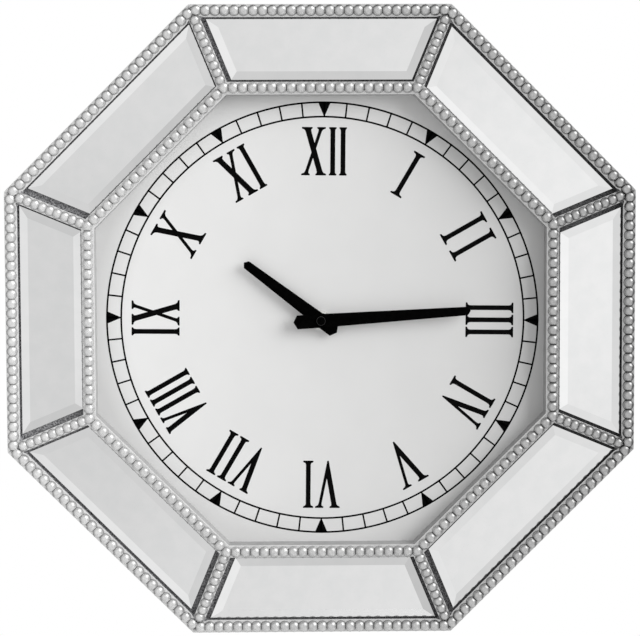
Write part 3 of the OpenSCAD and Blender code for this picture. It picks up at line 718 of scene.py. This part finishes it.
# Each numeral with the widths of its letters and the gap between them, in mm.
numerals = (
    ("I", {"I": 10}, 1.8), ("II", {"I": 9.9}, 5.2), ("III", {"I": 8.5}, 1.3),
    ("IV", {"I": 8.6, "V": 18.6}, 1.8), ("V", {"V": 23.7}, 1.8),
    ("VI", {"V": 19.9, "I": 8.25}, 1.5),
    ("VII", {"V": 18.5, "I": 8.2}, 1.8), ("VIII", {"V": 15.4, "I": 6.4}, 1.9),
    ("IX", {"I": 6.6, "X": 20.4}, 1.6), ("X", {"X": 24}, 1.8), ("XI", {"X": 20.5, "I": 6.8}, 1.7),
    ("XII", {"X": 19.9, "I": 6}, 2.2))
letters = []
for hour, (text, widths, gap) in enumerate(numerals, 1):
    turn = Matrix.Rotation(full_turn * hour / hours, 3, "Y")
    total = sum(widths[sign] for sign in text) + gap * (len(text) - 1)
    at = -total / 2
    for sign in text:
        middle = at + widths[sign] / 2
        outline = outlines[sign](widths[sign] * mm)
        letter = draw("letter", [
            turn @ on_dial(middle * mm + spot.x, numeral_foot + spot.y) for spot in outline])
        bpy.ops.mesh.edge_face_add()
        push(0, -ink_t, 0)
        bpy.ops.object.mode_set(mode="OBJECT")
        letters.append(letter)
        at += widths[sign] + gap
for letter in letters:
    letter.select_set(True)
bpy.ops.object.join()
numeral_ring = bpy.context.object
numeral_ring.name = numeral_ring.data.name = "numerals"
bpy.ops.object.mode_set(mode="EDIT")
print_on(numeral_ring)

# Screws: small steel screws that hold the dial board and the back board to the frame
# and the hanger to the back board.
steel = coat("screw_steel", (0.50, 0.50, 0.51), (0.62, 0.62, 0.63), 0.34, metal=1.0, patch=600)
dress(steel, "dial_screws", "back_screws", "hanger_screws")

# Quartz movement: a black plastic case and cover that clip together round a small
# step motor, its timing circuit and a train of plastic wheels. Its threaded bush
# comes through the dial and is held there by a nut, with a rubber washer behind.
flat_angle = math.radians(0.5)
edge_angle = math.radians(30)


def soften(node_name, name, body, slot, surface, radius):
    """Copies a CAD solid as one mesh with rounded edges, which stands for the node."""
    mesh = frame["nodes"][node_name].data.copy()
    mesh.name = name
    mesh.materials.clear()
    piece = bpy.data.objects.new(name, mesh)
    bpy.context.scene.collection.objects.link(piece)
    bpy.ops.object.select_all(action="DESELECT")
    piece.select_set(True)
    bpy.context.view_layer.objects.active = piece
    if mesh.has_custom_normals:
        bpy.ops.mesh.customdata_custom_splitnormals_clear()
    bpy.ops.object.mode_set(mode="EDIT")
    bpy.ops.mesh.select_all(action="SELECT")
    bpy.ops.mesh.remove_doubles(threshold=weld)
    bpy.ops.mesh.dissolve_limited(angle_limit=flat_angle)
    bpy.ops.object.mode_set(mode="OBJECT")
    edge = piece.modifiers.new("edge", "BEVEL")
    edge.width = radius
    edge.segments = 2
    edge.limit_method = "ANGLE"
    edge.angle_limit = edge_angle
    bpy.ops.object.modifier_apply(modifier=edge.name)
    bpy.ops.object.mode_set(mode="EDIT")
    settle(piece, body, slot, surface, node_name)


case_black = coat(
    "case_plastic", (0.014, 0.014, 0.015), (0.024, 0.024, 0.025), 0.5, grain=2200, relief=0.05)
soften(
    "movement_case", "movement_case_shell", "clock_body", "movement_plastic", case_black,
    radius=0.3 * mm)
soften(
    "movement_cover", "movement_cover_shell", "clock_body", "movement_plastic", case_black,
    radius=0.25 * mm)
rubber = coat("gasket_rubber", (0.012, 0.012, 0.012), (0.02, 0.02, 0.02), 0.8, relief=0.05)
dress(rubber, "gasket")
wheel_white = coat("wheel_plastic", (0.70, 0.69, 0.66), (0.78, 0.77, 0.74), 0.4, patch=300)
dress(
    wheel_white, "hour_wheel", "motion_wheel", "centre_wheel", "third_wheel", "seconds_wheel",
    "intermediate_wheel", "rotor_pinion")
magnet_grey = coat("magnet_ferrite", (0.05, 0.05, 0.052), (0.09, 0.09, 0.092), 0.55, patch=900)
dress(magnet_grey, "rotor_magnet")
core_steel = coat("core_steel", (0.42, 0.42, 0.43), (0.55, 0.55, 0.56), 0.38, metal=1.0, patch=500)
dress(core_steel, "stator", "coil_core", "quartz_crystal")
bobbin_cream = coat("bobbin_plastic", (0.55, 0.50, 0.40), (0.62, 0.57, 0.46), 0.5)
dress(bobbin_cream, "coil_bobbin")
copper = coat("winding_copper", (0.45, 0.16, 0.06), (0.62, 0.25, 0.10), 0.32, metal=1.0, patch=500)
dress(copper, "coil_winding")
circuit_green = coat("circuit_board", (0.01, 0.10, 0.045), (0.02, 0.16, 0.07), 0.4, patch=700)
dress(circuit_green, "circuit_board")
contact_bright = coat("contact_nickel", (0.60, 0.58, 0.54), (0.70, 0.68, 0.64), 0.3, metal=1.0)
dress(contact_bright, "contact_plus", "contact_minus")

# Hub: a nickelled brass washer and nut that clamp the movement, and the brass minute
# arbor that turns inside the bush.
brass = coat("brass", (0.66, 0.47, 0.20), (0.80, 0.60, 0.30), 0.26, metal=1.0, patch=500)
nickel = coat(
    "nickelled_brass", (0.70, 0.69, 0.67), (0.80, 0.79, 0.77), 0.3, metal=0.5, patch=500)
soften("fixing_washer", "fixing_washer_ring", "clock_body", "brass", nickel, radius=0.15 * mm)
soften("fixing_nut", "fixing_nut_hex", "clock_body", "brass", nickel, radius=0.2 * mm)
dress(brass, "minute_arbor")

# Hands: flat tapered bars stamped from thin metal and painted matt black. They are
# pressed on their arbors, and a small round nut with a rubbed rim holds the minute hand.
hand_edge_r = 0.12 * mm
hand_black = coat(
    "hand_paint", (0.001, 0.001, 0.001), (0.002, 0.002, 0.002), 0.6, shine=0, patch=400)
soften("hour_hand", "hour_hand_bar", "hour_group", "hand_black", hand_black, hand_edge_r)
soften("minute_hand", "minute_hand_bar", "minute_group", "hand_black", hand_black, hand_edge_r)
nut_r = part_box("hand_nut")[1].x
painted_r = nut_r - 0.4 * mm
bare_r = nut_r - 0.3 * mm
bare_metal = (0.05, 0.05, 0.05, 1)
nut_black = coat(
    "nut_paint", (0.001, 0.001, 0.001), (0.002, 0.002, 0.002), 0.3, shine=0, patch=600)
flat = node(nut_black, "Mapping", {"Vector": place_on(nut_black), "Scale": (1, 0, 1)}).outputs[0]
outward = node(nut_black, "VectorMath", {0: flat}, operation="LENGTH").outputs["Value"]
bare = span(nut_black, outward, 0, 1, painted_r, bare_r)
feed(
    nut_black, Metallic=bare,
    Base_Color=blend(nut_black, bare, paint_of(nut_black), bare_metal))
soften("hand_nut", "hand_nut_cap", "minute_group", "nut_black", nut_black, radius=0.35 * mm)

# Battery and setting knob: one AA cell in a plain sleeve, lying in the bay behind the
# movement, and the fluted knob that sets the time from behind.
sleeve = coat("battery_sleeve", (0.02, 0.02, 0.022), (0.03, 0.03, 0.032), 0.3, patch=200)
battery_low, battery_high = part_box("battery")
along_cell = span(sleeve, rightward(sleeve), 0, 1, battery_low.x, battery_high.x)
copper_from, black_from, cap_from = 0.05, 0.27, 0.975
bare_can, copper_band, black_band = (0.6, 0.6, 0.6), (0.50, 0.22, 0.07), (0.025, 0.025, 0.027)
feed(
    sleeve,
    Base_Color=tint(
        sleeve, along_cell, (0, bare_can), (copper_from, copper_band), (black_from, black_band),
        (cap_from, bare_can), steps=True),
    Metallic=tint(
        sleeve, along_cell, (0, (1, 1, 1)), (copper_from, (0.6, 0.6, 0.6)),
        (black_from, (0, 0, 0)), (cap_from, (1, 1, 1)), steps=True))
dress(sleeve, "battery")
knob_grey = coat("knob_plastic", (0.085, 0.085, 0.085), (0.115, 0.115, 0.115), 0.42, patch=400)
soften(
    "setting_knob", "setting_knob_disc", "knob_group", "knob_plastic", knob_grey,
    radius=0.15 * mm)

# Back: a hardboard panel seated on the ledge inside the skirt and screwed to the
# frame, with an opening over the movement and a steel keyhole hanger at the top.
hardboard = coat(
    "back_hardboard", (0.20, 0.125, 0.07), (0.30, 0.19, 0.11), 0.72,
    patch=700, grain=1800, relief=0.15)
soften("back_board", "back_board_panel", "clock_body", "back_board", hardboard, radius=0.4 * mm)
zinc = coat("hanger_zinc", (0.48, 0.48, 0.49), (0.66, 0.66, 0.67), 0.36, metal=1.0, patch=260)
soften(
    "hanger_plate", "hanger_plate_pressing", "clock_body", "hanger_steel", zinc, radius=0.2 * mm)

# Camera: stands about a metre and a half in front of the clock, a little above its
# middle and left of it, and looks slightly down.
camera = bpy.data.objects.new("camera", bpy.data.cameras.new("camera"))
bpy.context.scene.collection.objects.link(camera)
camera.data.lens = 106.93
camera.data.sensor_width = 36
camera_place = (-27.72 * mm, -1546.93 * mm, 107.84 * mm)
turned_right, tipped_down, leaned = 1.02, 3.99, -0.19
camera.matrix_world = (
    Matrix.Translation(camera_place)
    @ Matrix.Rotation(math.radians(-turned_right), 4, "Z")
    @ Matrix.Rotation(math.radians(90 - tipped_down), 4, "X")
    @ Matrix.Rotation(math.radians(leaned), 4, "Z"))
bpy.context.scene.camera = camera
bpy.context.scene.view_settings.view_transform = "Standard"

# Light: a white room that the mirrors show as soft pale and grey cards, one large lamp
# at the upper right that throws the hands' shadows, and a weaker one behind.
world = bpy.data.worlds.new("studio")
bpy.context.scene.world = world
world.use_nodes = True
room_behind, room_ahead = 0.12, 0.82
plain_light = 0.57
view_ray = node(world, "TexCoord", {}).outputs["Generated"]

# Soft cards in the room: degrees right and up out of the dial, their half width in
# degrees, and how much lighter or darker than the room they are.
cards = (
    (-27, -3, 24, 0.13), (-14, -19, 8, 0.10), (-15, 16, 9, -0.13), (-16, -30, 8, -0.10),
    (5, 21, 10, -0.17), (5, -30, 10, -0.15), (22, -3, 6, 0.28), (31, -2, 10, -0.23),
    (20, 14, 12, -0.08), (22, -21, 7, -0.18), (-7, -5, 8, -0.06), (8, -1, 7, 0.06),
    (42, -3, 9, -0.11), (29, -33, 9, -0.13), (-27, -32, 9, 0.12), (-27, 24, 9, 0.12),
    (-130, 70, 48, -0.2), (80, -8, 22, -0.4), (64, 46, 32, 2.1))


def aim(right, up):
    """Direction out of the dial, turned right and up by degrees."""
    right, up = math.radians(right), math.radians(up)
    return Vector((
        math.sin(right) * math.cos(up), -math.cos(right) * math.cos(up), math.sin(up)))


def toward(start, stop, low, high, right, up):
    """Level that goes softly from low to high as a ray turns to a direction.

    Start and stop are the cosines of the angles at which it starts and stops to change.
    """
    facing = node(world, "VectorMath", {0: view_ray, 1: aim(right, up)}, operation="DOT_PRODUCT")
    return node(world, "MapRange", {
        "Value": facing.outputs["Value"], "From Min": start, "From Max": stop,
        "To Min": low, "To Max": high}, interpolation_type="SMOOTHSTEP").outputs[0]


room = toward(start=-0.5, stop=0.7, low=room_behind, high=room_ahead, right=0, up=0)
for right, up, width, power in cards:
    card = toward(math.cos(math.radians(width)), 1, 0, power, right, up)
    room = node(world, "Math", {0: room, 1: card}, operation="ADD").outputs[0]
rays = node(world, "LightPath", {}).outputs
mirrored = node(world, "Math", {
    0: rays["Is Glossy Ray"], 1: rays["Is Transmission Ray"]}, operation="MAXIMUM").outputs[0]
level = span(world, mirrored, plain_light, room, 0, 1)
level = span(world, rays["Is Camera Ray"], level, 1, 0, 1)
sky = world.node_tree.nodes["Background"]
sky.inputs["Color"].default_value = (1, 1, 1, 1)
world.node_tree.links.new(level, sky.inputs["Strength"])


def lamp(name, place, size, power):
    """Square lamp that faces the clock and doesn't show in the mirrors."""
    made = bpy.data.objects.new(name, bpy.data.lights.new(name, "AREA"))
    bpy.context.scene.collection.objects.link(made)
    made.data.size = size
    made.data.energy = power
    made.location = place
    made.rotation_euler = (-Vector(place)).to_track_quat("-Z", "Y").to_euler()
    made.visible_glossy = False


lamp("key_lamp", place=(2.33, -1.5, 1.14), size=2.0, power=76)
lamp("back_lamp", place=(-0.8, 1.3, 0.9), size=1.0, power=14)

# Floor: a wide pale floor well below the clock, which hangs on a wall in use. It glows
# for the camera alone, so that it stays pale without lighting the clock.
floor_w = 2.4
floor_drop = 1.2
bpy.ops.object.select_all(action="DESELECT")
bpy.ops.mesh.primitive_plane_add(size=floor_w, location=(0, 0, -floor_drop))
ground = bpy.context.object
ground.name = ground.data.name = "floor"
bpy.ops.object.transform_apply(location=True)
floor_glow = 0.42
pale = coat(
    "floor_paint", (0.80, 0.80, 0.80), (0.83, 0.83, 0.83), 0.8, patch=2, grain=60, relief=0)
pale_rays = node(pale, "LightPath", {}).outputs
feed(pale, Emission_Strength=span(pale, pale_rays["Is Camera Ray"], 0, floor_glow, 0, 1))
pale.node_tree.nodes["Principled BSDF"].inputs["Emission Color"].default_value = (1, 1, 1, 1)
ground.data.materials.append(pale)
